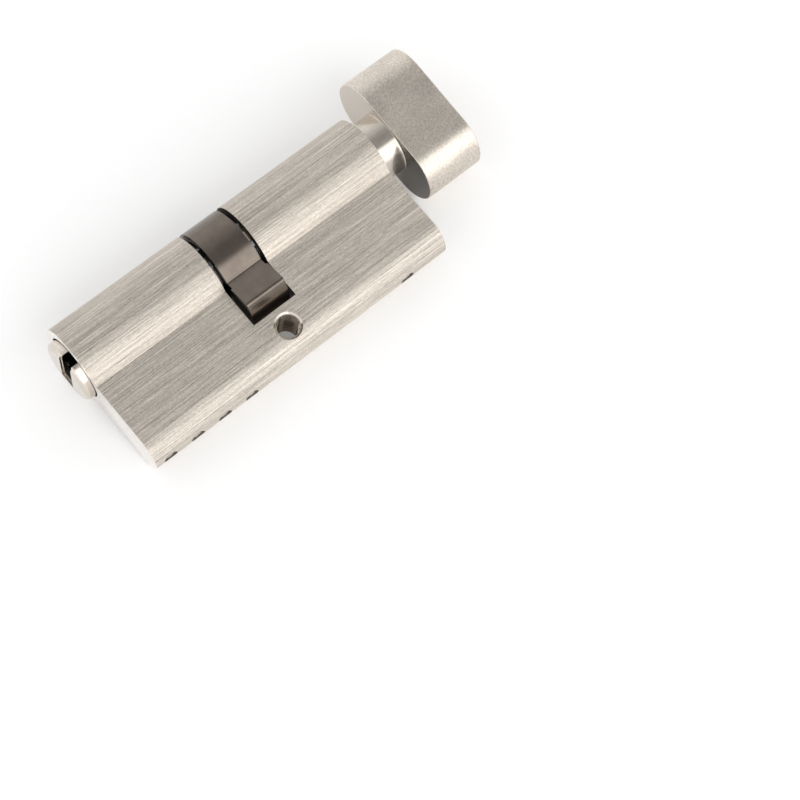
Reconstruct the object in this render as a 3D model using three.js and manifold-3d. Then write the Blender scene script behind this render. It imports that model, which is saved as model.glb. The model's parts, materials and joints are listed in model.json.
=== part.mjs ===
// Euro profile cylinder, key one side and thumbturn the other, lying on its side.
// Millimetres, +Z up. X runs along the plugs' axis, from the key end to the thumbturn.
// The origin is on that axis, in the cam's middle plane.
// Every piece is drawn in the cylinder's own upright section, where the tail points to -Y
// and the tail's two flats face +Z and -Z. One group then rolls the whole cylinder about X
// until its round part and its tail both touch the surface that it lies on.

import * as THREE from 'three';
import { mergeVertices } from 'three/addons/utils/BufferGeometryUtils.js';
import Module from 'manifold-3d';

const wasm = await Module();
wasm.setup();

// ---------------------------------------------------------------- driving dimensions

// Standard euro section
const halfLength = 35; // from the cam's middle plane to each end face
const roundRadius = 8.5;
const tailHalf = 5; // half the tail's thickness
const tailFlatEnd = 21.3; // where the flats stop, measured down from the axis
const tailBottom = 24.5;
const screwHoleDrop = 19.1;
const screwHoleRadius = 2.25;
const screwHoleFlare = 0.55;

// Cam slot and bores
const slotHalf = 5;
const slotDrop = 15.15;
const boreRadius = 6.55;
const collarBore = 6.9;
const collarDepth = 1.3;

// Plugs
const plugRadius = 6.45;
const collarRadius = 6.7;
const collarThick = 1.1;
const collarSink = 0.1; // from the housing's end face to the collar
const noseRadius = 6.35;
const noseLength = 2.0;
const noseChamfer = 0.35;
const plugGap = 0.4; // from the middle plane to each plug's inner end
const clipGrooveRadius = 5.7;
const clipGroove = [4.05, 4.95];
const clipRadius = 7.6;
const clipSpan = [4.15, 4.85];
const clipPlay = 0.08;
const keyClipOpening = [-15, 7]; // degrees from +Z towards the tail
const turnClipOpening = [-10, 17];

// Keyway, key pockets and clutch
const keywayHalf = 1.4;
const keywayFloor = -4.4;
const keywayEnd = -7;
const noseSlotDepth = 1.8;
const pocketHalf = [2.1, 4.6];
const clutchHalf = [2.0, 4.4];
const clutchSpan = [-6.5, -0.6];
const clutchHole = { radius: 1.2, depth: 3 };
const clutchSpringEnd = 2.3;

// Pin stacks, counted from the key end
const chamberFirst = -31.7;
const chamberPitch = 6.35;
const chamberRadius = 1.45;
const pinRadius = 1.35;
const pinNoseRadius = 0.85;
const pinShear = 6.36; // outer end of a key pin, just inside the plug's surface
const keyDimples = [0.45, 0.85, 0.65, 1.05];
const keyHalf = 1.25;
const pinLowest = -0.9; // how far a key pin's nose falls past the axis with no key
const shankLowest = 2.55; // where a key pin's shank then begins
const driverSpan = [6.66, 12.6];
const springSpan = [12.75, 22.0];
const capSpan = [22.15, 24.2];
const capRadius = 1.4;

// Spring wire
const wireRadius = 0.17;
const chamberCoil = { turns: 7, radius: 1.1 };
const clutchCoil = { turns: 5, radius: 0.9 };

// Cam and its driving bar
const camHalf = 4;
const camRadius = 8.45;
const camBore = 6.58;
const camNoseHalf = 4.35;
const camNoseStart = 9.3;
const camNoseTip = 14.8;
const camNoseThick = 6.8;
const camNoseAngle = 21.3; // degrees, from the tail towards the flat that faces up
const barSpan = [2.4, 3.9];
const barHalf = [7.35, 1.25];
const barSlotHalf = 1.35;
const barGrooveReach = 7.45;

// Thumbturn
const tenonRadius = 4.2;
const tenonEnd = 48;
const tenonFlat = { from: 36.2, level: 3.5 };
const tenonPlay = 0.06;
const retainGroove = { x: 25.4, half: 1.7, radius: 5.5 };
const neckSpan = [35.3, 40.1];
const neckRadius = 6.4;
const knobDepth = 13.1;
const knobHalfLength = 14;
const knobHalfThick = 7.15;
const knobTurn = 3.5; // degrees
const knobEdge = 0.35;
const grubX = 37.7;
const grubRadius = 1.45;
const grubSpan = [3.7, 6.2];

const roll = Math.asin(roundRadius / Math.hypot(tailFlatEnd, tailHalf))
  - Math.atan2(tailHalf, tailFlatEnd);
const degrees = Math.PI / 180;

// ---------------------------------------------------------------- solids and shapes

// A closed geometry as a solid that can be cut and joined.
function solid(geometry) {
  const bare = geometry.clone();
  bare.deleteAttribute('normal');
  bare.deleteAttribute('uv');
  const merged = mergeVertices(bare, 1e-5);
  const mesh = new wasm.Mesh({
    numProp: 3,
    vertProperties: new Float32Array(merged.attributes.position.array),
    triVerts: new Uint32Array(merged.index.array),
  });
  return new wasm.Manifold(mesh);
}

// A solid back as a geometry.
function geometryOf(body) {
  const mesh = body.getMesh();
  const geometry = new THREE.BufferGeometry();
  geometry.setAttribute('position', new THREE.BufferAttribute(new Float32Array(mesh.vertProperties), 3));
  geometry.setIndex(new THREE.BufferAttribute(new Uint32Array(mesh.triVerts), 1));
  geometry.computeVertexNormals();
  return geometry;
}

// Points along an arc in the section, angles in radians from +Y towards +Z.
function arc(centreY, centreZ, radius, from, to, steps) {
  const points = [];
  for (let i = 0; i <= steps; i += 1) {
    const angle = from + ((to - from) * i) / steps;
    points.push(new THREE.Vector2(centreY + radius * Math.cos(angle), centreZ + radius * Math.sin(angle)));
  }
  return points;
}

// A section outline in Y and Z, drawn out along X from x0 to x1.
function alongX(points, x0, x1, bevel = 0) {
  const geometry = new THREE.ExtrudeGeometry(new THREE.Shape(points), {
    depth: x1 - x0 - 2 * bevel,
    bevelEnabled: bevel > 0,
    bevelThickness: bevel,
    bevelSize: bevel,
    bevelOffset: -bevel,
    bevelSegments: 1,
  });
  const basis = new THREE.Matrix4().makeBasis(
    new THREE.Vector3(0, 1, 0),
    new THREE.Vector3(0, 0, 1),
    new THREE.Vector3(1, 0, 0),
  );
  return geometry.applyMatrix4(basis).translate(x0 + bevel, 0, 0);
}

// A turned shape about Y, from [radius, height] points that rise from the axis back to it.
function turned(points, segments = 16) {
  return new THREE.LatheGeometry(points.map(([r, h]) => new THREE.Vector2(r, h)), segments);
}

// The same about X: [radius, x] points.
function turnedX(points, segments = 48) {
  return turned(points, segments).rotateZ(-Math.PI / 2);
}

// A plain round bar about X.
function rodX(radius, x0, x1, segments = 48) {
  return turnedX([[0, x0], [radius, x0], [radius, x1], [0, x1]], segments);
}

// A round bar along -Y, down the tail, from one depth to the other.
function rodDown(x, radius, from, to, segments = 16) {
  return turned([[0, -to], [radius, -to], [radius, -from], [0, -from]], segments).translate(x, 0, 0);
}

function block(x0, x1, y0, y1, z0, z1) {
  const geometry = new THREE.BoxGeometry(x1 - x0, y1 - y0, z1 - z0);
  return geometry.translate((x0 + x1) / 2, (y0 + y1) / 2, (z0 + z1) / 2);
}

// The radius whose flat-sided bore still clears the stated one.
function clear(radius, segments) {
  return radius / Math.cos(Math.PI / segments);
}

// A compression spring's centre line, standing along Y.
class Helix extends THREE.Curve {
  constructor(radius, height, turns) {
    super();
    this.radius = radius;
    this.height = height;
    this.turns = turns;
  }

  getPoint(t, target = new THREE.Vector3()) {
    const angle = 2 * Math.PI * this.turns * t;
    return target.set(this.radius * Math.cos(angle), this.height * t, this.radius * Math.sin(angle));
  }
}

function coil(length, { turns, radius }) {
  const wire = new THREE.Shape(arc(0, 0, wireRadius, 0, 1.6 * Math.PI, 4));
  const path = new Helix(radius, length - 2 * wireRadius, turns);
  const geometry = new THREE.ExtrudeGeometry(wire, {
    steps: turns * 8,
    extrudePath: path,
    bevelEnabled: false,
  });
  return geometry.translate(0, wireRadius, 0);
}

// ---------------------------------------------------------------- finishes

const finishes = {
  satinNickel: { color: 0xbab3a9, roughness: 0.38, metalness: 1 },
  brightNickel: { color: 0xd6d2cb, roughness: 0.2, metalness: 1 },
  darkSteel: { color: 0x6a625c, roughness: 0.42, metalness: 1 },
  springSteel: { color: 0x9a9c9e, roughness: 0.3, metalness: 1 },
  brass: { color: 0xc2a05a, roughness: 0.3, metalness: 1 },
  blackSteel: { color: 0x2c2b2a, roughness: 0.5, metalness: 1 },
};

function piece(name, geometry, finish) {
  const mesh = new THREE.Mesh(geometry, new THREE.MeshStandardMaterial(finishes[finish]));
  mesh.name = name;
  return mesh;
}

// ---------------------------------------------------------------- housing

const chambers = keyDimples.map((_, i) => chamberFirst + i * chamberPitch);

function housing() {
  const crease = Math.PI - Math.asin(tailHalf / roundRadius);
  const sag = tailBottom - tailFlatEnd;
  const bottomRadius = (tailHalf ** 2 + sag ** 2) / (2 * sag);
  const half = Math.asin(tailHalf / bottomRadius);
  const outline = [
    ...arc(0, 0, roundRadius, -crease, crease, 54),
    ...arc(bottomRadius - tailBottom, 0, bottomRadius, Math.PI - half, Math.PI + half, 12),
  ];
  let body = solid(alongX(outline, -halfLength, halfLength));
  const cuts = [
    rodX(clear(boreRadius, 48), -halfLength - 1, halfLength + 1),
    rodX(clear(collarBore, 48), -halfLength - 1, -halfLength + collarDepth),
    rodX(clear(collarBore, 48), halfLength - collarDepth, halfLength + 1),
    block(-slotHalf, slotHalf, -slotDrop, roundRadius + 1, -roundRadius - 1, roundRadius + 1),
    screwHole(),
    ...[...chambers, retainGroove.x].map((x) => rodDown(x, chamberRadius, 5, tailBottom + 1)),
  ];
  for (const cut of cuts) body = body.subtract(solid(cut));
  return piece('housing', geometryOf(body), 'satinNickel');
}

// The fixing screw's hole, flared at both flats.
function screwHole() {
  const wide = screwHoleRadius + screwHoleFlare;
  const mouth = tailHalf + 1;
  const profile = [
    [0, -mouth], [wide, -mouth], [wide, -tailHalf], [screwHoleRadius, screwHoleFlare - tailHalf],
    [screwHoleRadius, tailHalf - screwHoleFlare], [wide, tailHalf], [wide, mouth], [0, mouth],
  ];
  return turned(profile, 24).rotateX(Math.PI / 2).translate(0, -screwHoleDrop, 0);
}

// ---------------------------------------------------------------- key plug and clutch

// The keyway's section: open at the top flat's side, with three wards.
function keyway() {
  const w = keywayHalf;
  const ward = 0.65;
  const points = [
    [-w, 7], [-w, 3.1], [ward - w, 3.1], [ward - w, 2.2], [-w, 2.2], [-w, -2.9], [ward - w, -2.9],
    [ward - w, -3.8], [-w, -3.8], [-w, keywayFloor], [w, keywayFloor], [w, -2.7], [w - ward, -2.7],
    [w - ward, -1.8], [w, -1.8], [w, 7],
  ];
  const outline = points.map(([y, z]) => new THREE.Vector2(y, z));
  return alongX(outline, -halfLength - noseLength - 1, keywayEnd + 0.1);
}

const pinFall = keyDimples.map((dimple) => keyHalf - dimple - pinLowest);
const pinShoulder = pinFall.map((fall) => shankLowest + fall);

function keyPlug() {
  const face = -halfLength - noseLength;
  const collar = -halfLength + collarSink;
  const [grooveIn, grooveOut] = clipGroove;
  let body = solid(turnedX([
    [0, face], [noseRadius - noseChamfer, face], [noseRadius, face + noseChamfer],
    [noseRadius, collar], [collarRadius, collar], [collarRadius, collar + collarThick],
    [plugRadius, collar + collarThick], [plugRadius, -grooveOut], [clipGrooveRadius, -grooveOut],
    [clipGrooveRadius, -grooveIn], [plugRadius, -grooveIn], [plugRadius, -plugGap], [0, -plugGap],
  ]));
  const [pocketY, pocketZ] = pocketHalf;
  const cuts = [
    block(face - 1, face + noseSlotDepth, -keywayHalf, keywayHalf, -7, 7),
    keyway(),
    block(keywayEnd, 0, -pocketY, pocketY, -pocketZ, pocketZ),
  ];
  chambers.forEach((x, i) => {
    cuts.push(rodDown(x, chamberRadius, pinShoulder[i] - pinFall[i] - 0.05, 8));
    cuts.push(rodDown(x, pinNoseRadius + 0.1, 0, 4));
  });
  for (const cut of cuts) body = body.subtract(solid(cut));
  return piece('key_plug', geometryOf(body), 'brightNickel');
}

// A split ring that holds a plug in its half.
function circlip(name, x0, opening) {
  const [from, to] = opening.map((turn) => Math.PI / 2 + turn * degrees);
  const outline = [
    ...arc(0, 0, clipRadius, to, from + 2 * Math.PI, 30),
    ...arc(0, 0, clipGrooveRadius + clipPlay, from + 2 * Math.PI, to, 30),
  ];
  return piece(name, alongX(outline, x0, x0 + clipSpan[1] - clipSpan[0]), 'springSteel');
}

function clutchSlider() {
  const [y, z] = clutchHalf;
  const [from, to] = clutchSpan;
  const hole = rodX(clutchHole.radius, to - clutchHole.depth, to + 1, 16);
  const body = solid(block(from, to, -y, y, -z, z)).subtract(solid(hole));
  return piece('clutch_slider', geometryOf(body), 'springSteel');
}

function clutchSpring() {
  const start = clutchSpan[1] - clutchHole.depth + 0.05;
  const mesh = piece('clutch_spring', coil(clutchSpringEnd - start, clutchCoil), 'springSteel');
  mesh.rotation.z = -Math.PI / 2;
  mesh.position.x = start;
  return mesh;
}

// ---------------------------------------------------------------- pin stacks

// A key pin: a shank in the plug's chamber and a thinner nose that meets the key's dimple.
function keyPin(i) {
  const length = pinShear - (keyHalf - keyDimples[i]);
  const shank = pinShear - pinShoulder[i];
  const mesh = piece(`key_pin_${i + 1}`, turned([
    [0, 0], [0.8, 0], [pinRadius, 0.3], [pinRadius, shank - 0.25], [pinNoseRadius, shank],
    [pinNoseRadius, length - 0.6], [0.25, length], [0, length],
  ], 14), 'brass');
  mesh.position.set(chambers[i], -pinShear, 0);
  return mesh;
}

// A driver pin, waisted so that it catches if the plug is forced.
function driverPin(i) {
  const length = driverSpan[1] - driverSpan[0];
  const waist = pinRadius - 0.35;
  const mesh = piece(`driver_pin_${i + 1}`, turned([
    [0, 0], [pinRadius - 0.2, 0], [pinRadius, 0.2], [pinRadius, length - 3.2], [waist, length - 2.7],
    [waist, length - 1.2], [pinRadius, length - 0.7], [pinRadius, length - 0.15],
    [pinRadius - 0.15, length], [0, length],
  ], 14), 'springSteel');
  mesh.position.set(chambers[i], -driverSpan[1], 0);
  return mesh;
}

function chamberSpring(name, x) {
  const [inner, outer] = springSpan;
  const mesh = piece(name, coil(outer - inner, chamberCoil), 'springSteel');
  mesh.position.set(x, -outer, 0);
  return mesh;
}

function chamberCap(name, x) {
  const [inner, outer] = capSpan;
  const length = outer - inner;
  const mesh = piece(name, turned([
    [0, 0], [capRadius - 0.2, 0], [capRadius, 0.2], [capRadius, length], [0, length],
  ]), 'satinNickel');
  mesh.position.set(x, -outer, 0);
  return mesh;
}

// ---------------------------------------------------------------- cam

// The cam's ring and nose, with the nose along -Y before its group turns it.
function cam() {
  const h = camNoseThick / 2;
  const tipHalf = Math.asin(h / camNoseTip);
  const tip = arc(0, 0, camNoseTip, Math.PI - tipHalf, Math.PI + tipHalf, 6);
  const nose = (from) => [new THREE.Vector2(-from, h), ...tip, new THREE.Vector2(-from, -h)];
  const root = camBore + 0.7;
  const joins = [
    alongX(nose(root), -camHalf, camHalf),
    alongX(nose(camNoseStart), -camNoseHalf, camNoseHalf),
  ];
  const cuts = [
    rodX(clear(camBore, 48), -camHalf - 1, camHalf + 1),
    block(-camHalf - 1, camHalf + 1, -barGrooveReach, barGrooveReach, -barSlotHalf, barSlotHalf),
  ];
  let body = solid(rodX(camRadius, -camHalf, camHalf));
  for (const join of joins) body = body.add(solid(join));
  for (const cut of cuts) body = body.subtract(solid(cut));
  return piece('cam', geometryOf(body), 'darkSteel');
}

// The bar through the spindle that turns the cam.
function driveBar() {
  const [reach, half] = barHalf;
  return piece('cam_drive_bar', block(barSpan[0], barSpan[1], -reach, reach, -half, half), 'springSteel');
}

// ---------------------------------------------------------------- thumbturn

function spindle() {
  const collar = halfLength - collarSink;
  const [grooveIn, grooveOut] = clipGroove;
  const retain = retainGroove;
  let body = solid(turnedX([
    [0, plugGap], [plugRadius, plugGap], [plugRadius, grooveIn], [clipGrooveRadius, grooveIn],
    [clipGrooveRadius, grooveOut], [plugRadius, grooveOut], [plugRadius, retain.x - retain.half],
    [retain.radius, retain.x - retain.half], [retain.radius, retain.x + retain.half],
    [plugRadius, retain.x + retain.half], [plugRadius, collar - collarThick],
    [collarRadius, collar - collarThick], [collarRadius, collar], [tenonRadius, collar],
    [tenonRadius, tenonEnd], [0, tenonEnd],
  ]));
  const [pocketY, pocketZ] = pocketHalf;
  const barSlot = block(0, barSpan[1] + 0.05, -7, 7, -barSlotHalf, barSlotHalf);
  const cuts = [
    barSlot.rotateX(-camNoseAngle * degrees),
    block(0, barSpan[0] - 0.05, -pocketY, pocketY, -pocketZ, pocketZ),
    block(tenonFlat.from, tenonEnd + 1, -5, 5, -5, -tenonFlat.level).rotateX(knobTurn * degrees),
  ];
  for (const cut of cuts) body = body.subtract(solid(cut));
  return piece('turn_spindle', geometryOf(body), 'brightNickel');
}

// The oval knob and its neck in one casting, with a blind bore for the spindle's tenon.
function knob() {
  const [neckStart, neckEnd] = neckSpan;
  const reach = knobHalfLength - knobHalfThick;
  const outline = [
    ...arc(reach, 0, knobHalfThick, -Math.PI / 2, Math.PI / 2, 20),
    ...arc(-reach, 0, knobHalfThick, Math.PI / 2, 1.5 * Math.PI, 20),
  ];
  const flare = 0.5;
  const neck = turnedX([
    [0, neckStart], [neckRadius - 0.3, neckStart], [neckRadius, neckStart + 0.3],
    [neckRadius, neckEnd - flare], [neckRadius + flare, neckEnd + 0.2], [0, neckEnd + 0.2],
  ]);
  const bore = rodX(clear(tenonRadius + tenonPlay, 32), neckStart - 1, tenonEnd + 0.4, 32);
  const screw = turned([[0, -8], [grubRadius + 0.08, -8], [grubRadius + 0.08, -3], [0, -3]])
    .rotateX(Math.PI / 2)
    .translate(grubX, 0, 0);
  const body = solid(alongX(outline, neckEnd, neckEnd + knobDepth, knobEdge))
    .add(solid(neck))
    .subtract(solid(bore))
    .subtract(solid(screw));
  const mesh = piece('thumbturn_knob', geometryOf(body), 'satinNickel');
  mesh.rotation.x = knobTurn * degrees;
  return mesh;
}

// The socket screw in the neck's underside, tight on the tenon's flat.
function grubScrew() {
  const [inner, outer] = grubSpan;
  const shank = turned([
    [0, -outer], [grubRadius - 0.2, -outer], [grubRadius, 0.2 - outer], [grubRadius, -inner - 0.3],
    [grubRadius - 0.3, -inner], [0, -inner],
  ]);
  const socket = turned([[0, -outer - 1], [0.85, -outer - 1], [0.85, 1.3 - outer], [0, 1.3 - outer]], 6);
  const body = solid(shank).subtract(solid(socket));
  const mesh = piece('knob_grub_screw', geometryOf(body), 'blackSteel');
  mesh.rotation.x = Math.PI / 2 + knobTurn * degrees;
  mesh.position.x = grubX;
  return mesh;
}

// The pin that rides in the spindle's groove and keeps it from being pulled out.
function retainingPin() {
  const tip = retainGroove.radius + 0.12;
  const length = driverSpan[1] - tip;
  const mesh = piece('retaining_pin', turned([
    [0, 0], [pinRadius - 0.2, 0], [pinRadius, 0.2], [pinRadius, length - 0.7], [0.6, length], [0, length],
  ], 14), 'springSteel');
  mesh.position.set(retainGroove.x, -driverSpan[1], 0);
  return mesh;
}

// ---------------------------------------------------------------- assembly

const body = new THREE.Group();
body.add(housing());
chambers.forEach((x, i) => {
  body.add(keyPin(i), driverPin(i));
  body.add(chamberSpring(`pin_spring_${i + 1}`, x), chamberCap(`chamber_cap_${i + 1}`, x));
});
body.add(retainingPin());
body.add(chamberSpring('retaining_spring', retainGroove.x));
body.add(chamberCap('retaining_cap', retainGroove.x));

const keySide = new THREE.Group();
keySide.add(keyPlug(), circlip('key_side_circlip', -clipSpan[1], keyClipOpening));
keySide.add(clutchSlider(), clutchSpring());

const camSet = new THREE.Group();
camSet.add(cam(), driveBar());
camSet.rotation.x = -camNoseAngle * degrees;

const turnSide = new THREE.Group();
turnSide.add(spindle(), circlip('turn_side_circlip', clipSpan[0], turnClipOpening));
turnSide.add(knob(), grubScrew());

const cylinder = new THREE.Group();
cylinder.add(body, keySide, camSet, turnSide);
cylinder.rotation.x = roll;

export default cylinder;
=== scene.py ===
"""A euro profile cylinder with a thumbturn, lying on its side: its looks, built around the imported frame.

Every piece is drawn in millimetres in the cylinder's own upright section: X along the plugs' axis,
the tail towards -Y, the flat that faces up towards +Z. One roll about X then lays it down.
"""

import json
import math

import bmesh
import bpy
from mathutils import Matrix, Quaternion, Vector


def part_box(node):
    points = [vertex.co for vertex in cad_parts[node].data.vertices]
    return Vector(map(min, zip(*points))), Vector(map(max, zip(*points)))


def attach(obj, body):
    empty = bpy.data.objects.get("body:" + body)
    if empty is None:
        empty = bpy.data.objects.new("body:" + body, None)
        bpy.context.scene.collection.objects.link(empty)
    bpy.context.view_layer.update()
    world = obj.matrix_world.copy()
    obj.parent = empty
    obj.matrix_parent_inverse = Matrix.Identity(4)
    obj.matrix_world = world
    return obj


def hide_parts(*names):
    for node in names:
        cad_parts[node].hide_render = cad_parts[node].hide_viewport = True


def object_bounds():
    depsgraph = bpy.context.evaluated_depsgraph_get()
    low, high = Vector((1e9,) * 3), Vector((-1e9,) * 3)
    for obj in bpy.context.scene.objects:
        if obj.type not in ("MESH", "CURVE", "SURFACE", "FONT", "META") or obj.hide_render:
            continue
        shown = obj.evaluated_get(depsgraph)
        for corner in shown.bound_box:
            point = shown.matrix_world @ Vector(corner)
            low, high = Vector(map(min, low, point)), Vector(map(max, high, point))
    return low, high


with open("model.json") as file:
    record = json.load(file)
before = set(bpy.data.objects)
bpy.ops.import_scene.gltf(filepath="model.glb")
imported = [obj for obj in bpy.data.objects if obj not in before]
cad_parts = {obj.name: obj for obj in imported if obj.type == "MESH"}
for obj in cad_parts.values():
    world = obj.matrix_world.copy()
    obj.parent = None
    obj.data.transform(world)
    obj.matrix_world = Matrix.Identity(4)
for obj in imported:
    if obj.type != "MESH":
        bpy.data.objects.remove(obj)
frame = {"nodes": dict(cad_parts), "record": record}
cad_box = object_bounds()

MM = 0.001

# ------------------------------------------------------------------ driving dimensions, in millimetres

# housing
half_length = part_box("housing")[1].x / MM
round_radius = 8.5
tail_half = 5.0
tail_flat_end = 21.3
tail_bottom = 24.5
tail_blend = 4.0
screw_drop = 19.1
screw_radius = 2.12
screw_thread = 0.3
screw_pitch = 0.8
screw_mouth = 2.78
slot_half = 5.0
slot_drop = 15.15
bore_radius = 6.55
collar_bore = 6.65
collar_depth = 1.3
housing_edge = 0.12

# what both plugs share
plug_radius = 6.45
collar_radius = 6.58
collar_sink = 0.1
collar_thick = 1.1
plug_gap = 0.4
clip_groove_radius = 5.7
clip_groove = (4.05, 4.95)
pocket = (2.1, 4.6)

# key plug
nose_gap = 0.9
nose_radius = 6.35
nose_length = 2.0
nose_round = 1.0
mouth_half = 1.65
mouth_depth = 0.45
mouth_flare = 0.6
mouth_floor = -4.1
mouth_steps = 3
keyway_half = 1.4
keyway_floor = -1.8
keyway_top = 7.0
keyway_end = -7.0
ward = 0.4
upper_ward = (2.7, 3.6)
lower_ward = (-0.6, 0.3)
key_plug_edge = 0.1

# split rings, whose openings are in degrees from +Z towards the tail
clip_radius = 6.85
clip_lug_radius = 7.75
clip_lug = 9
clip_thick = 0.7
clip_play = 0.08
clip_inset = 0.15
clip_edge = 0.06
key_clip_opening = (-15, 7)
turn_clip_opening = (-10, 17)

# pin chambers and the caps that close them, from the axis down the tail
chamber_radius = 1.45
chamber_inner = 5.0
chamber_mouth = (1.5, 23.8)
pin_dimples = (0.45, 0.85, 0.65, 1.05)
key_half = 1.25
pin_lowest = -0.9
shank_lowest = 2.55
shank_room = 0.05
tip_bore = 0.95
cap_span = (22.15, 24.2)
cap_dome = ((0, 0), (0.6, 0.04), (1.0, 0.14), (1.4, 0.4))

# cam and the groove for its drive bar
cam_half = 4.0
cam_radius = 8.45
cam_bore = 6.58
cam_nose_half = 4.35
cam_nose_start = 9.3
cam_nose_tip = 14.8
cam_nose_thick = 6.8
cam_nose_angle = 21.3
cam_root_round = 0.6
cam_tip_round = 0.8
cam_edge = 0.15
bar_groove = (7.45, 1.35)
bar_span = (2.4, 3.9)
bar_room = 0.05

# thumbturn
tenon_radius = 4.2
tenon_end = 48.0
tenon_flat = 3.5
tenon_flat_start = 1.3
tenon_play = 0.06
tenon_room = 0.4
retain_x = 25.4
retain_half = 1.7
retain_radius = 5.5
spindle_edge = 0.08
neck_start = 35.3
neck_end = 40.1
neck_radius = 6.4
neck_lip = 0.2
neck_flare = (0.8, 0.15)
neck_lap = 0.05
knob_depth = 13.1
knob_half_length = 14.0
knob_half_thick = 7.15
knob_turn = 3.5
knob_edge = 0.28
grub_x = 37.7
grub_radius = 1.45
grub_span = (3.7, 6.2)
grub_play = 0.08
grub_chamfer = 0.2
grub_point = 0.3
grub_edge = 0.05
socket_radius = 0.85
socket_depth = 1.3

# sides of round shapes, from the outsides down to the pins
SIDES_OUTSIDE = 144
SIDES_PLUG = 128
SIDES_HOLE = 96
SIDES_SMALL = 48
SIDES_PIN = 32

roll = math.asin(round_radius / math.hypot(tail_flat_end, tail_half)) - math.atan2(tail_half, tail_flat_end)
section = Matrix.Rotation(roll, 4, "X")


def middle_x(node):
    """A CAD node's middle along X, in millimetres."""
    low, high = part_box(node)
    return (low.x + high.x) / 2 / MM


chamber_x = [middle_x(f"chamber_cap_{i + 1}") for i in range(len(pin_dimples))]
pin_fall = [key_half - dimple - pin_lowest for dimple in pin_dimples]
pin_shoulder = [shank_lowest + fall for fall in pin_fall]

# ------------------------------------------------------------------ mesh work


def link(name, data):
    """A new object in the scene for a mesh or a camera."""
    piece = bpy.data.objects.new(name, data)
    bpy.context.scene.collection.objects.link(piece)
    return piece


def from_bmesh(name, bm):
    """A piece in metres from a bmesh in millimetres, with its faces pointing out."""
    bmesh.ops.recalc_face_normals(bm, faces=bm.faces)
    bmesh.ops.scale(bm, vec=(MM, MM, MM), verts=bm.verts)
    mesh = bpy.data.meshes.new(name)
    bm.to_mesh(mesh)
    bm.free()
    return link(name, mesh)


def arc(cy, cz, radius, start, end, steps):
    """Points along an arc in the section, angles from +Y towards +Z."""
    turns = [start + (end - start) * i / steps for i in range(steps + 1)]
    return [(cy + radius * math.cos(a), cz + radius * math.sin(a)) for a in turns]


def prism(name, outline, x0, x1):
    """A section outline drawn out along X."""
    bm = bmesh.new()
    ends = [[bm.verts.new((x, y, z)) for y, z in outline] for x in (x0, x1)]
    bm.faces.new(ends[0])
    bm.faces.new(ends[1])
    for i in range(len(outline)):
        j = (i + 1) % len(outline)
        bm.faces.new((ends[0][i], ends[0][j], ends[1][j], ends[1][i]))
    return from_bmesh(name, bm)


def turned(name, profile, sides, axis="X"):
    """A turned solid from (radius, height) points. It ends in flat caps, whose radius may be nothing."""
    bm = bmesh.new()
    turns = [2 * math.pi * i / sides for i in range(sides)]
    rings = []
    for radius, height in profile:
        if radius:
            ring = [bm.verts.new((height, radius * math.cos(a), radius * math.sin(a))) for a in turns]
        else:
            ring = [bm.verts.new((height, 0, 0))]
        rings.append(ring)
    for a, b in zip(rings, rings[1:]):
        for i in range(sides):
            j = (i + 1) % sides
            corners = (a[i % len(a)], a[j % len(a)], b[j % len(b)], b[i % len(b)])
            bm.faces.new(list(dict.fromkeys(corners)))
    for ring in (rings[0], rings[-1]):
        if len(ring) > 1:
            bm.faces.new(ring)
    turn = {"X": Matrix.Identity(4), "Y": Matrix.Rotation(math.pi / 2, 4, "Z"),
            "Z": Matrix.Rotation(-math.pi / 2, 4, "Y")}[axis]
    bmesh.ops.transform(bm, matrix=turn, verts=bm.verts)
    return from_bmesh(name, bm)


def rod(name, radius, start, end, sides, axis="X"):
    return turned(name, [(radius, start), (radius, end)], sides, axis)


def block(name, low, high):
    (x0, y0, z0), (x1, y1, z1) = low, high
    return prism(name, [(y0, z0), (y1, z0), (y1, z1), (y0, z1)], x0, x1)


def place(piece, x=0.0, y=0.0, turn=0.0):
    """Bakes a turn about X, in degrees, and a shift, in millimetres, into the mesh."""
    piece.data.transform(Matrix.Rotation(math.radians(turn), 4, "X"))
    piece.data.transform(Matrix.Translation((x * MM, y * MM, 0.0)))
    return piece


def applied(piece):
    """Replaces the piece's mesh with the result of its modifiers."""
    graph = bpy.context.evaluated_depsgraph_get()
    mesh = bpy.data.meshes.new_from_object(piece.evaluated_get(graph))
    piece.modifiers.clear()
    piece.data = mesh
    return piece


def combine(piece, others, operation="DIFFERENCE"):
    """Cuts the others from the piece, or joins them to it, one after another."""
    for other in others:
        step = piece.modifiers.new(operation.lower(), "BOOLEAN")
        step.operation = operation
        step.solver = "EXACT"
        step.object = other
        applied(piece)
        bpy.data.objects.remove(other)
    return piece


def shade(piece):
    """Smooth shading, broken at edges that turn by more than 35 degrees, with flat faces kept flat."""
    piece.data.shade_smooth()
    piece.data.set_sharp_from_angle(angle=math.radians(35))
    flat_first = piece.modifiers.new("normals", "WEIGHTED_NORMAL")
    flat_first.keep_sharp = True
    return applied(piece)


def soften(piece, width, segments=2, angle=18):
    """Rounds every edge that turns by more than the angle, and shades the piece."""
    weld = 2e-7
    bm = bmesh.new()
    bm.from_mesh(piece.data)
    bmesh.ops.remove_doubles(bm, verts=bm.verts, dist=weld)
    bmesh.ops.dissolve_degenerate(bm, edges=bm.edges, dist=weld)
    bm.to_mesh(piece.data)
    bm.free()
    bevel = piece.modifiers.new("edges", "BEVEL")
    bevel.width = width * MM
    bevel.segments = segments
    bevel.limit_method = "ANGLE"
    bevel.angle_limit = math.radians(angle)
    bevel.use_clamp_overlap = True
    bevel.miter_outer = "MITER_ARC"
    return shade(applied(piece))


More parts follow.
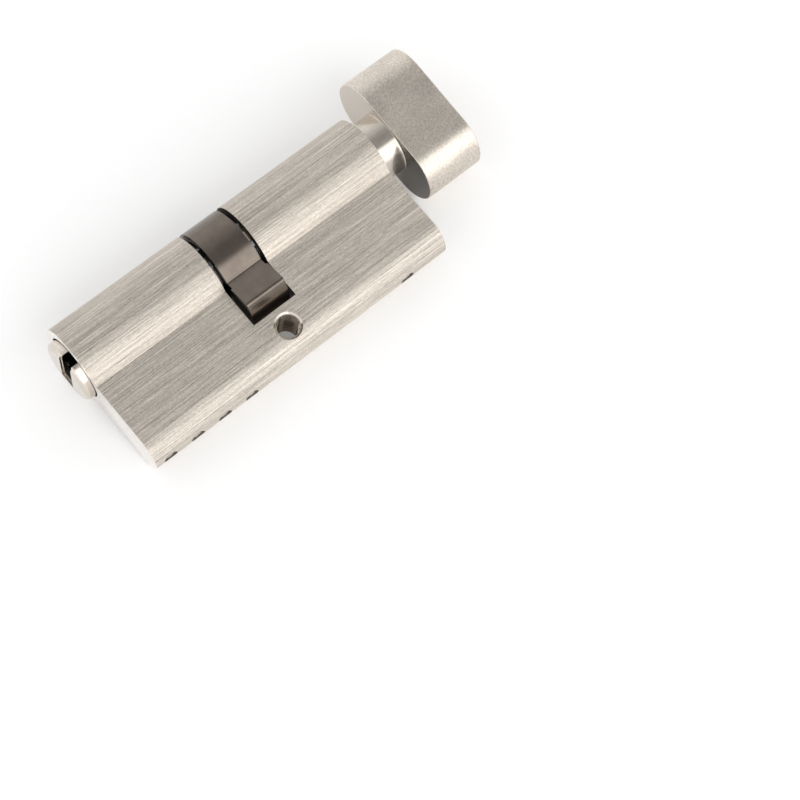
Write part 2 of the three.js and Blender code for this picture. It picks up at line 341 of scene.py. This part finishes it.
def show(piece, body, slot, material, *nodes):
    """Lays the piece down, gives it its finish, and lets it ride on its body in place of the CAD nodes."""
    piece.data.transform(section)
    piece.data.materials.clear()
    piece.data.materials.append(material)
    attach(piece, body)
    if nodes:
        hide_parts(*nodes)
    return piece


# ------------------------------------------------------------------ node trees

WHITE = (1.0, 1.0, 1.0, 1.0)


class Nodes:
    """A material's or a world's node tree, with short ways to add what the finishes and studio need."""

    def __init__(self, owner):
        owner.use_nodes = True
        self.owner = owner
        self.tree = owner.node_tree
        coordinates = self.add("ShaderNodeTexCoord").outputs
        self.place = coordinates["Object"]
        self.facing = coordinates["Normal"]
        self.towards = coordinates["Generated"]

    def add(self, kind, **inputs):
        node = self.tree.nodes.new(kind)
        for key, value in inputs.items():
            self.feed(node.inputs[key], value)
        return node

    def feed(self, socket, value):
        if isinstance(value, bpy.types.NodeSocket):
            self.tree.links.new(value, socket)
        else:
            socket.default_value = value

    def split(self, vector):
        """The vector's X, Y and Z."""
        return self.add("ShaderNodeSeparateXYZ", Vector=vector).outputs

    def noise(self, scale, detail, roughness=0.6):
        """Noise with its own scale along each axis, in waves a millimetre."""
        mapping = self.add("ShaderNodeMapping", Vector=self.place)
        mapping.inputs["Scale"].default_value = [s / MM for s in scale]
        texture = self.add("ShaderNodeTexNoise", Vector=mapping.outputs["Vector"], Scale=1.0, Detail=detail,
                           Roughness=roughness)
        return texture.outputs["Fac"]

    def range(self, value, low, high, to_low=0.0, to_high=1.0):
        """Takes low to high onto to_low to to_high, and clips what lies outside."""
        node = self.add("ShaderNodeMapRange", Value=value)
        for key, number in (("From Min", low), ("From Max", high), ("To Min", to_low), ("To Max", to_high)):
            node.inputs[key].default_value = number
        return node.outputs["Result"]

    def vary(self, noise, low, high):
        """Stretches noise, which mostly keeps between 0.3 and 0.7, to run from low to high."""
        return self.range(noise, 0.3, 0.7, low, high)

    def math(self, operation, a, b=0.0):
        node = self.tree.nodes.new("ShaderNodeMath")
        node.operation = operation
        self.feed(node.inputs[0], a)
        self.feed(node.inputs[1], b)
        return node.outputs[0]

    def total(self, *parts):
        """The sum of (value, share) pairs, each value times its share."""
        terms = [self.math("MULTIPLY", value, share) for value, share in parts]
        result = terms[0]
        for term in terms[1:]:
            result = self.math("ADD", result, term)
        return result

    def within(self, value, limit):
        """1 where the value is closer to nothing than the limit, and 0 elsewhere."""
        return self.math("LESS_THAN", self.math("ABSOLUTE", value), limit)

    def past(self, value, limit):
        """1 where the value is further from nothing than the limit, and 0 elsewhere."""
        return self.math("GREATER_THAN", self.math("ABSOLUTE", value), limit)

    def every(self, first, *others):
        """1 where all the masks are 1."""
        for other in others:
            first = self.math("MULTIPLY", first, other)
        return first

    def either(self, first, *others):
        """1 where any of the masks is 1."""
        for other in others:
            first = self.math("MAXIMUM", first, other)
        return first

    def mix(self, factor, a, b):
        node = self.tree.nodes.new("ShaderNodeMix")
        node.data_type = "RGBA"
        self.feed(node.inputs["Factor"], factor)
        self.feed(node.inputs["A"], a)
        self.feed(node.inputs["B"], b)
        return node.outputs["Result"]

    def bump(self, height, depth):
        """Bump of a real depth, in millimetres."""
        node = self.add("ShaderNodeBump", Height=height, Strength=1.0)
        node.inputs["Distance"].default_value = depth * MM
        return node.outputs["Normal"]

    def around_x(self):
        node = self.tree.nodes.new("ShaderNodeTangent")
        node.direction_type = "RADIAL"
        node.axis = "X"
        return node.outputs["Tangent"]

    def finish(self, color, roughness, normal=None, metallic=1.0, anisotropic=0.0, grain_turn=0.0):
        """Sets the material's shader. The grain's turn is in whole turns from the direction around X."""
        s = self.tree.nodes["Principled BSDF"].inputs
        self.feed(s["Base Color"], color)
        self.feed(s["Roughness"], roughness)
        s["Metallic"].default_value = metallic
        if normal is not None:
            self.feed(s["Normal"], normal)
        if anisotropic:
            s["Anisotropic"].default_value = anisotropic
            s["Anisotropic Rotation"].default_value = grain_turn
            self.feed(s["Tangent"], self.around_x())
        return self.owner


# ------------------------------------------------------------------ materials

NICKEL = (0.60, 0.547, 0.484)
# end faces: a cut grain, made paler than the nickel by painted light in place of the bright floor they
# reflect
CUT_FACE_PAINTED_LIGHT_LOW = (0.76, 0.73, 0.7, 1.0)
CUT_FACE_PAINTED_LIGHT_HIGH = (0.92, 0.89, 0.86, 1.0)
# share of the nickel's colour kept where painted shade darkens the hollows
PAINTED_SHADE_SHARE = 0.25


def tint(base, share):
    return (base[0] * share, base[1] * share, base[2] * share, 1.0)


def tones(n, value, reach, base, low, high):
    """The base colour, from low to high times as bright as the value crosses a half."""
    return n.mix(n.range(value, 0.5 - reach, 0.5 + reach), tint(base, low), tint(base, high))


def faced(n, color, rough, face_color, face_rough, start):
    """Gives the end faces, square to X and past the start, a colour and roughness of their own; the colour
    passed in carries painted light on the housing and painted shade on the knob's back face.

    It returns the colour, the roughness, and a mask of all the rest, which keeps its grain."""
    square = n.range(n.math("ABSOLUTE", n.split(n.facing)["X"]), 0.9, 0.97)
    outside = n.past(n.split(n.place)["X"], start * MM)
    end = n.every(square, outside)
    rest = n.math("SUBTRACT", 1.0, end)
    faces = n.vary(n.noise((0.5, 1.5, 1.5), detail=2.0), face_rough - 0.03, face_rough + 0.03)
    return n.mix(end, color, face_color), n.total((rough, rest), (faces, end)), rest


def upright(n):
    """X, Y and Z in the upright section, before the roll."""
    turned_back = n.add("ShaderNodeMapping", Vector=n.place, Rotation=(-roll, 0.0, 0.0))
    return n.split(turned_back.outputs["Vector"])


def housing_painted_shade(n):
    """The mask for painted shade: the housing's bores, cam slot walls and pin chambers, which are coloured
    dark where shade falls.
    """
    x, y, z = upright(n)
    facing = n.split(n.facing)
    from_axis = n.math("SQRT", n.total((y, y), (z, z)))
    bore = n.math("LESS_THAN", from_axis, (collar_bore + 0.03) * MM)
    slot_wall = n.every(n.within(x, (slot_half + 0.02) * MM), n.past(facing["X"], 0.5))
    chamber = n.every(
        n.within(z, (chamber_mouth[0] + 0.05) * MM), n.within(facing["Y"], 0.5),
        n.math("LESS_THAN", y, -slot_drop * MM), n.within(x, (half_length - 1) * MM),
    )
    return n.either(bore, slot_wall, chamber)


def plug_painted_shade(n):
    """The mask for painted shade on the key plug: its keyway and all of it that is behind the housing's end
    face.
    """
    x, y, _ = upright(n)
    bright_lip = 0.55
    behind = n.math("GREATER_THAN", x, -half_length * MM)
    deep = n.math("GREATER_THAN", x, (bright_lip - half_length - nose_length) * MM)
    return n.either(behind, n.every(deep, n.within(y, (keyway_half + 0.02) * MM)))


def brushed(name, low, high, roughness, depth):
    """Nickel brushed along X: long hair lines that differ in tone, height and shine. Its end faces have a
    cut grain and are made pale by painted light.
    """
    n = Nodes(bpy.data.materials.new(name))
    lines = n.noise((0.045, 4.8, 4.8), detail=2.0, roughness=0.65)
    hairs = n.noise((0.2, 9.0, 9.0), detail=2.0, roughness=0.7)
    grain = n.noise((2.0, 5.5, 5.5), detail=2.0, roughness=0.7)
    patches = n.vary(n.noise((0.02, 0.15, 0.15), detail=1.0), -0.006, 0.006)
    tone = n.math("ADD", n.total((lines, 0.39), (hairs, 0.33), (grain, 0.28)), patches)
    color = tones(n, tone, 0.12, NICKEL, low, high)
    rough = n.vary(hairs, roughness - 0.06, roughness + 0.06)
    cut = n.range(n.noise((0.5, 5.0, 1.0), detail=2.0, roughness=0.7), 0.35, 0.65)
    # the end faces' pale cut colour is painted light
    color, rough, rest = faced(n, color, rough, n.mix(cut, CUT_FACE_PAINTED_LIGHT_LOW, CUT_FACE_PAINTED_LIGHT_HIGH), 0.36, half_length - 1)
    # painted shade: the housing's hollows are coloured dark, as shade falls there
    color = n.mix(housing_painted_shade(n), color, tint(NICKEL, PAINTED_SHADE_SHARE))
    return n.finish(color, rough, n.bump(n.every(tone, rest), depth), anisotropic=0.85)


def satin(name, low, high, roughness, depth):
    """Nickel with a fine, short grain that runs around X. Both end faces are smooth: the one nearer
    the origin carries painted shade, dark towards -Y and light towards +Y, and the outer one is even."""
    n = Nodes(bpy.data.materials.new(name))
    grain = n.noise((7.0, 2.0, 2.0), detail=3.0)
    speckle = n.noise((6.5, 6.5, 6.5), detail=2.0, roughness=0.7)
    patches = n.vary(n.noise((0.15, 0.15, 0.15), detail=1.0), -0.03, 0.03)
    tone = n.math("ADD", n.total((grain, 0.55), (speckle, 0.45)), patches)
    color = tones(n, tone, 0.12, NICKEL, low, high)
    rough = n.vary(speckle, roughness - 0.04, roughness + 0.04)
    spot = n.split(n.place)
    # painted shade: the back face darkens towards -Y, in place of the shadowed floor it reflects
    back = n.mix(n.range(spot["Y"], -6 * MM, 4 * MM), tint(NICKEL, 0.2), tint(NICKEL, 1.1))
    front = n.mix(n.vary(speckle, 0.0, 1.0), tint(NICKEL, 1.05), tint(NICKEL, 1.2))
    outer = n.math("GREATER_THAN", spot["X"], (neck_end + knob_depth / 2) * MM)
    color, rough, rest = faced(n, color, rough, n.mix(outer, back, front), 0.24, neck_start)
    return n.finish(color, rough, n.bump(n.every(tone, rest), depth), anisotropic=0.7, grain_turn=0.25)


def machined(name, base, low, high, roughness, inside=None):
    """Bright turned metal: faint rings around X and small tone changes, and painted shade inside the mask.
    """
    n = Nodes(bpy.data.materials.new(name))
    rings = n.noise((5.0, 0.15, 0.15), detail=2.0)
    faces = n.noise((0.4, 2.2, 2.2), detail=3.0)
    tone = n.total((rings, 0.5), (faces, 0.5))
    color = tones(n, tone, 0.15, base, low, high)
    if inside:
        # painted shade: where the mask is, the colour is darkened as shade in hollows
        color = n.mix(inside(n), color, tint(base, PAINTED_SHADE_SHARE))
    rough = n.vary(faces, roughness - 0.04, roughness + 0.06)
    return n.finish(color, rough, n.bump(tone, 0.002), anisotropic=0.3, grain_turn=0.25)


def sintered(name, base, low, high, roughness):
    """Dark sintered steel: fine pores and a soft cloudy tone."""
    n = Nodes(bpy.data.materials.new(name))
    pores = n.noise((5.5, 5.5, 5.5), detail=3.0)
    clouds = n.noise((0.35, 0.35, 0.35), detail=2.0)
    rough = n.vary(pores, roughness - 0.04, roughness + 0.05)
    return n.finish(tones(n, clouds, 0.15, base, low, high), rough, n.bump(pores, 0.003))


nickel_body = brushed("nickel_body", 0.56, 1.46, 0.42, 0.009)
nickel_plug = machined("nickel_plug", NICKEL, 1.05, 1.25, 0.16)
# the key plug's keyway and its part inside the housing get painted shade
nickel_nose = machined("nickel_nose", NICKEL, 1.05, 1.25, 0.16, plug_painted_shade)
nickel_hole = machined("nickel_hole", NICKEL, 0.8, 1.1, 0.12)
nickel_cap = machined("nickel_cap", NICKEL, 0.6, 0.95, 0.25)
nickel_knob = satin("nickel_knob", 0.77, 1.47, 0.42, 0.007)
nickel_neck = machined("nickel_neck", NICKEL, 0.92, 1.08, 0.17)
dark_cam = sintered("dark_cam", (0.172, 0.145, 0.123), 0.92, 1.08, 0.22)
spring_steel = machined("spring_steel", (0.17, 0.17, 0.17), 0.8, 1.1, 0.25)
brass = machined("brass", (0.65, 0.49, 0.26), 0.85, 1.15, 0.24)
black_steel = sintered("black_steel", (0.035, 0.035, 0.035), 0.7, 1.3, 0.4)

# ------------------------------------------------------------------ housing


def thread_cutter(name, length):
    """The screw hole's cutter: a bar about Z whose wall rises and falls once every pitch."""
    turns = round(length / screw_pitch)
    crests = [(screw_radius, (i - turns / 2) * screw_pitch) for i in range(turns + 1)]
    roots = [(screw_radius + screw_thread, z + screw_pitch / 2) for _, z in crests]
    profile = [point for pair in zip(crests, roots) for point in pair]
    return turned(name, profile, SIDES_HOLE, "Z")


def tail_outline():
    """The tail's rounded end, blended into both flats."""
    sag = tail_bottom - tail_flat_end
    radius = (tail_half ** 2 + sag ** 2) / (2 * sag)
    middle = radius - tail_bottom
    reach = math.sqrt((radius - tail_blend) ** 2 - (tail_half - tail_blend) ** 2)
    lean = math.atan2(tail_half - tail_blend, -reach)
    blend = (middle - reach, tail_half - tail_blend)
    outline = arc(*blend, tail_blend, math.pi / 2, lean, 10)
    outline += arc(middle, 0, radius, lean, 2 * math.pi - lean, 40)[1:-1]
    return outline + arc(blend[0], -blend[1], tail_blend, 2 * math.pi - lean, 1.5 * math.pi, 10)


def make_housing():
    crease = math.pi - math.asin(tail_half / round_radius)
    outline = arc(0, 0, round_radius, -crease, crease, SIDES_OUTSIDE) + tail_outline()
    body = prism("housing_body", outline, -half_length, half_length)
    end = half_length + 1
    cuts = [
        rod("bore", bore_radius, -end, end, SIDES_PLUG),
        rod("bore_key", collar_bore, -end, collar_depth - half_length, SIDES_PLUG),
        rod("bore_turn", collar_bore, half_length - collar_depth, end, SIDES_PLUG),
        block("slot", (-slot_half, -slot_drop, -10), (slot_half, 10, 10)),
    ]
    mouth, start = chamber_mouth
    profile = [(mouth, -tail_bottom - 1), (mouth, -start), (chamber_radius, -start),
               (chamber_radius, -chamber_inner)]
    for x in [*chamber_x, retain_x]:
        cuts.append(place(turned("chamber", profile, SIDES_SMALL, "Y"), x=x))
    combine(body, cuts)
    soften(body, housing_edge)
    screw_hole = rod("screw_hole", screw_mouth, -tail_half - 1, tail_half + 1, SIDES_HOLE, "Z")
    combine(body, [place(screw_hole, y=-screw_drop)])
    shade(body)
    return show(body, "housing", "nickel_body", nickel_body, "housing")


def make_screw_thread():
    """The fixing hole's bright threaded wall, with a chamfer at each mouth that ends in the flat."""
    sleeve = rod("screw_thread", screw_mouth, -tail_half, tail_half, SIDES_HOLE, "Z")
    inner = screw_radius + screw_thread
    depth = screw_mouth - inner
    cuts = [thread_cutter("thread", 2 * tail_half + 1)]
    for side in (-1, 1):
        profile = [(screw_mouth + 1, side * (tail_half + 1)), (inner, side * (tail_half - depth))]
        cuts.append(turned("mouth", profile, SIDES_HOLE, "Z"))
    combine(sleeve, cuts)
    shade(sleeve)
    place(sleeve, y=-screw_drop)
    return show(sleeve, "housing", "nickel_plug", nickel_hole)


def make_cap(x, node):
    """A chamber's closing cap, with a slightly domed outer face."""
    low, high = cap_span
    profile = [(radius, drop - high) for radius, drop in cap_dome]
    profile += [(profile[-1][0], -low), (0, -low)]
    cap = turned(node + "_disc", profile, SIDES_SMALL, "Y")
    place(cap, x=x)
    return show(shade(cap), "housing", "nickel_body", nickel_cap, node)


# ------------------------------------------------------------------ key plug


def keyway_cutter():
    """The keyway's section behind its mouth, with one ward on each side."""
    w = keyway_half
    upper_low, upper_high = upper_ward
    lower_low, lower_high = lower_ward
    outline = [
        (-w, keyway_top), (-w, upper_high), (ward - w, upper_high), (ward - w, upper_low), (-w, upper_low),
        (-w, keyway_floor), (w, keyway_floor),
        (w, lower_low), (w - ward, lower_low), (w - ward, lower_high), (w, lower_high), (w, keyway_top),
    ]
    return prism("keyway", outline, -half_length - nose_length - 1, keyway_end + 0.1)


def mouth_cutters(face):
    """The keyway's mouth: a wider slot across the nose, flared at the face, whose floor climbs in steps."""
    w = keyway_half
    m = mouth_half
    f = mouth_flare
    wedge = [(m + f, face), (-m - f, face), (-m, face + f), (m, face + f)]
    flare = prism("flare", wedge, mouth_floor, keyway_top)
    x_for_z = Matrix(((0, 0, 1, 0), (0, 1, 0, 0), (1, 0, 0, 0), (0, 0, 0, 1)))
    flare.data.transform(x_for_z)
    cuts = [flare, block("mouth", (face - 1, -m, mouth_floor), (face + mouth_depth, m, keyway_top))]
    for i in range(1, mouth_steps):
        floor = mouth_floor + (keyway_floor - mouth_floor) * i / mouth_steps
        depth = mouth_depth * (i + 1)
        cuts.append(block("step", (face - 1, -w, floor), (face + depth, w, keyway_top)))
    return cuts


def make_key_plug():
    face = -half_length - nose_length
    collar = -half_length + nose_gap
    collar_back = -half_length + collar_sink + collar_thick
    groove_in, groove_out = clip_groove
    turns = [math.pi / 2 * i / 8 for i in range(9)]
    nose = [
        (nose_radius - nose_round * (1 - math.sin(a)), face + nose_round * (1 - math.cos(a)))
        for a in turns
    ]
    plug = turned("key_plug_barrel", [
        *nose, (nose_radius, collar), (collar_radius, collar), (collar_radius, collar_back),
        (plug_radius, collar_back), (plug_radius, -groove_out),
        (clip_groove_radius, -groove_out), (clip_groove_radius, -groove_in), (plug_radius, -groove_in),
        (plug_radius, -plug_gap),
    ], SIDES_PLUG)
    py, pz = pocket
    cuts = [*mouth_cutters(face), keyway_cutter(), block("pocket", (keyway_end, -py, -pz), (0, py, pz))]
    for x, shoulder, fall in zip(chamber_x, pin_shoulder, pin_fall):
        shank = rod("shank_bore", chamber_radius, -8, shank_room + fall - shoulder, SIDES_PIN, "Y")
        tip = rod("tip_bore", tip_bore, -4, 0, SIDES_PIN, "Y")
        cuts += [place(shank, x=x), place(tip, x=x)]
    combine(plug, cuts)
    soften(plug, key_plug_edge)
    return show(plug, "key_plug", "nickel_plug", nickel_nose, "key_plug")


def make_circlip(name, x0, opening, body, node):
    """A split ring with a lug at each side of its opening."""
    start, end = (math.pi / 2 + math.radians(a) for a in opening)
    lug = math.radians(clip_lug)
    turn = 2 * math.pi
    outline = arc(0, 0, clip_lug_radius, end, end + lug, 6)
    outline += arc(0, 0, clip_radius, end + lug, start + turn - lug / 2, 90)
    outline += arc(0, 0, clip_lug_radius, start + turn - lug / 2, start + turn, 4)
    outline += arc(0, 0, clip_groove_radius + clip_play, start + turn, end, 96)
    clip = soften(prism(name, outline, x0, x0 + clip_thick), clip_edge)
    return show(clip, body, "spring_steel", spring_steel, node)


# ------------------------------------------------------------------ cam


def nose_outline(start):
    """The nose's section, from the ring out to its rounded tip, with the tail's side of the cam at -Y."""
    half = cam_nose_thick / 2
    r = cam_tip_round
    reach = math.sqrt((cam_nose_tip - r) ** 2 - (half - r) ** 2)
    lean = math.atan2(half - r, -reach)
    upper = arc(-reach, half - r, r, math.pi / 2, lean, 6)
    lower = arc(-reach, r - half, r, 2 * math.pi - lean, 1.5 * math.pi, 6)
    tip = arc(0, 0, cam_nose_tip, lean, 2 * math.pi - lean, 20)[1:-1]
    return [(start, half), *upper, *tip, *lower, (start, -half)]


def root_outline():
    """The same, with a concave round where the nose leaves the ring."""
    half = cam_nose_thick / 2
    r = cam_root_round
    rise = half + r
    away = math.sqrt((cam_radius + r) ** 2 - rise ** 2)
    meet = math.atan2(rise, -away)
    upper = arc(-away, rise, r, meet - math.pi, -math.pi / 2, 6)
    nose = nose_outline(-away)
    inside = (-away * 0.8, rise * 0.8)
    return [inside, *upper, *nose[1:-1], *[(y, -z) for y, z in reversed(upper)], (inside[0], -inside[1])]


def make_cam():
    reach, half = bar_groove
    ring = rod("cam_lever", cam_radius, -cam_half, cam_half, SIDES_OUTSIDE)
    joins = [
        prism("nose_root", root_outline(), -cam_half, cam_half),
        prism("nose_head", nose_outline(-cam_nose_start), -cam_nose_half, cam_nose_half),
    ]
    cuts = [
        rod("ring_bore", cam_bore, -cam_half - 1, cam_half + 1, SIDES_PLUG),
        block("groove", (-cam_half - 1, -reach, -half), (cam_half + 1, reach, half)),
    ]
    combine(ring, joins, "UNION")
    combine(ring, cuts)
    soften(ring, cam_edge, angle=40)
    place(ring, turn=-cam_nose_angle)
    return show(ring, "cam", "dark_cam", dark_cam, "cam")


# ------------------------------------------------------------------ thumbturn


def tenon_bore(start, end):
    return rod("tenon_bore", tenon_radius + tenon_play, start, end, SIDES_HOLE)


def make_spindle():
    collar = half_length - collar_sink
    groove_in, groove_out = clip_groove
    spindle = turned("turn_spindle_barrel", [
        (plug_radius, plug_gap), (plug_radius, groove_in), (clip_groove_radius, groove_in),
        (clip_groove_radius, groove_out), (plug_radius, groove_out), (plug_radius, retain_x - retain_half),
        (retain_radius, retain_x - retain_half), (retain_radius, retain_x + retain_half),
        (plug_radius, retain_x + retain_half), (plug_radius, collar - collar_thick),
        (collar_radius, collar - collar_thick), (collar_radius, collar), (tenon_radius, collar),
        (tenon_radius, tenon_end),
    ], SIDES_PLUG)
    py, pz = pocket
    half = bar_groove[1]
    bar_start, bar_end = bar_span
    bar_slot = block("bar_slot", (0, -7, -half), (bar_end + bar_room, 7, half))
    flat = block("flat", (collar + tenon_flat_start, -5, -5), (tenon_end + 1, 5, -tenon_flat))
    cuts = [
        place(bar_slot, turn=-cam_nose_angle),
        block("clutch_slot", (0, -py, -pz), (bar_start - bar_room, py, pz)),
        place(flat, turn=knob_turn),
    ]
    combine(spindle, cuts)
    soften(spindle, spindle_edge)
    return show(spindle, "thumbturn", "nickel_plug", nickel_plug, "turn_spindle")


def make_knob():
    reach = knob_half_length - knob_half_thick
    outline = arc(reach, 0, knob_half_thick, -math.pi / 2, math.pi / 2, 64)
    outline += arc(-reach, 0, knob_half_thick, math.pi / 2, 1.5 * math.pi, 64)
    knob = prism("knob_casting", outline, neck_end, neck_end + knob_depth)
    soften(knob, knob_edge, segments=4, angle=30)
    combine(knob, [tenon_bore(neck_end - 1, tenon_end + tenon_room)])
    shade(knob)
    place(knob, turn=knob_turn)
    return show(knob, "thumbturn", "nickel_knob", nickel_knob, "thumbturn_knob")


def make_neck():
    """The knob's polished neck, which flares smoothly into the knob's back face."""
    along, out = neck_flare
    turns = [math.pi / 2 * i / 12 for i in range(13)]
    flare = [(neck_radius + out * (1 - math.cos(a)), neck_end - along * (1 - math.sin(a))) for a in turns]
    neck = turned("knob_neck", [
        (neck_radius - neck_lip, neck_start), (neck_radius, neck_start + neck_lip), *flare,
        (neck_radius + out, neck_end + neck_lap),
    ], SIDES_OUTSIDE)
    grub_bore = rod("grub_bore", grub_radius + grub_play, -8, -3, SIDES_SMALL, "Z")
    combine(neck, [tenon_bore(neck_start - 1, neck_end + 1), place(grub_bore, x=grub_x)])
    shade(neck)
    place(neck, turn=knob_turn)
    return show(neck, "thumbturn", "nickel_knob", nickel_neck)


def make_grub_screw():
    inner, outer = grub_span
    screw = turned("grub_screw_body", [
        (grub_radius - grub_chamfer, -outer), (grub_radius, grub_chamfer - outer),
        (grub_radius, -inner - grub_point), (grub_radius - grub_point, -inner),
    ], SIDES_SMALL, "Z")
    combine(screw, [rod("socket", socket_radius, -outer - 1, socket_depth - outer, 6, "Z")])
    soften(screw, grub_edge)
    place(screw, x=grub_x)
    place(screw, turn=knob_turn)
    return show(screw, "thumbturn", "black_steel", black_steel, "knob_grub_screw")


# ------------------------------------------------------------------ building the object

make_housing()
make_screw_thread()
for number, x in enumerate(chamber_x, 1):
    make_cap(x, f"chamber_cap_{number}")
make_cap(retain_x, "retaining_cap")
make_key_plug()
key_clip_start = -slot_half + clip_inset
turn_clip_start = slot_half - clip_inset - clip_thick
make_circlip("key_side_ring", key_clip_start, key_clip_opening, "key_plug", "key_side_circlip")
make_circlip("turn_side_ring", turn_clip_start, turn_clip_opening, "thumbturn", "turn_side_circlip")
make_cam()
make_spindle()
make_knob()
make_neck()
make_grub_screw()

finishes = {
    "nickel_body": nickel_body, "nickel_plug": nickel_plug, "nickel_knob": nickel_knob,
    "dark_cam": dark_cam, "spring_steel": spring_steel, "brass": brass, "black_steel": black_steel,
}
for entry in frame["record"]["subparts"]:
    cad = frame["nodes"][entry["node"]]
    cad.data.materials.clear()
    cad.data.materials.append(finishes[entry["material_slot"]])

# ------------------------------------------------------------------ floor, light and camera


def make_floor():
    """A pale floor under the object. It glows a little, which keeps it white and the shadow on it light."""
    half_size = 1500
    bm = bmesh.new()
    bmesh.ops.create_grid(bm, x_segments=1, y_segments=1, size=half_size)
    floor = from_bmesh("floor", bm)
    floor.location.z = cad_box[0][2]
    n = Nodes(bpy.data.materials.new("floor"))
    floor.data.materials.append(n.finish((0.87, 0.87, 0.87, 1), 0.9, metallic=0.0))
    shader = n.tree.nodes["Principled BSDF"].inputs
    shader["Specular IOR Level"].default_value = 0.0
    shader["Emission Color"].default_value = WHITE
    shader["Emission Strength"].default_value = 0.18


def make_studio():
    """Soft light boxes as a world: strips along X, a box at each end, and the camera's white backdrop."""
    strips = [  # degrees from overhead towards +Y, and brightness
        (-90, 1.4), (-84, 1.85), (-78, 2.15), (-42, 2.1), (-36, 1.65), (-31, 0.6), (-27, 0.42), (4, 0.41),
        (20, 0.6), (30, 0.74), (40, 0.84), (52, 0.98), (70, 1.12), (80, 1.05), (90, 1.0),
    ]
    brightest = max(value for _, value in strips)
    end_shift = 0.1
    end_fade = (0.55, 0.75)
    end_share = 0.58
    world = bpy.data.worlds.new("studio")
    n = Nodes(world)
    direction = n.split(n.towards)
    angle = n.math("ARCTAN2", direction["Y"], direction["Z"])
    ramp = n.add("ShaderNodeValToRGB", Fac=n.range(angle, -math.pi / 2, math.pi / 2))
    stops = ramp.color_ramp.elements
    for i, (degrees, value) in enumerate(strips):
        stop = stops[i] if i < 2 else stops.new(1.0)
        stop.position = degrees / 180 + 0.5
        stop.color = [value / brightest] * 3 + [1.0]
    sideways = n.math("ABSOLUTE", n.math("SUBTRACT", direction["X"], end_shift))
    ends = n.range(sideways, *end_fade)
    ends.node.interpolation_type = "SMOOTHSTEP"
    boxes = n.mix(ends, ramp.outputs["Color"], (end_share, end_share, end_share, 1.0))
    light = n.tree.nodes["Background"]
    light.inputs["Strength"].default_value = brightest
    n.feed(light.inputs["Color"], boxes)
    backdrop = n.add("ShaderNodeBackground", Color=WHITE)
    seen = n.add("ShaderNodeMixShader", Fac=n.add("ShaderNodeLightPath").outputs["Is Camera Ray"])
    n.feed(seen.inputs[1], light.outputs["Background"])
    n.feed(seen.inputs[2], backdrop.outputs["Background"])
    n.feed(n.tree.nodes["World Output"].inputs["Surface"], seen.outputs["Shader"])
    bpy.context.scene.world = world


def make_camera():
    """Looks down past the cylinder, which lies in the upper left of the picture."""
    azimuth = math.radians(-40.1)
    elevation = math.radians(65.36)
    tilt = math.radians(-0.43)
    aim = Vector((6.42, -44.15, 0.0)) * MM
    distance = 347.2
    level = math.cos(elevation)
    back = Vector((math.sin(azimuth) * level, -math.cos(azimuth) * level, math.sin(elevation)))
    data = bpy.data.cameras.new("camera")
    data.sensor_width = 36
    data.lens = 85.1
    data.clip_start = 0.01
    camera = link("camera", data)
    camera.rotation_mode = "QUATERNION"
    camera.rotation_quaternion = back.to_track_quat("Z", "Y") @ Quaternion((0, 0, 1), tilt)
    camera.location = aim + back * distance * MM
    bpy.context.scene.camera = camera


make_floor()
make_studio()
bpy.context.scene.view_settings.view_transform = "Standard"
make_camera()
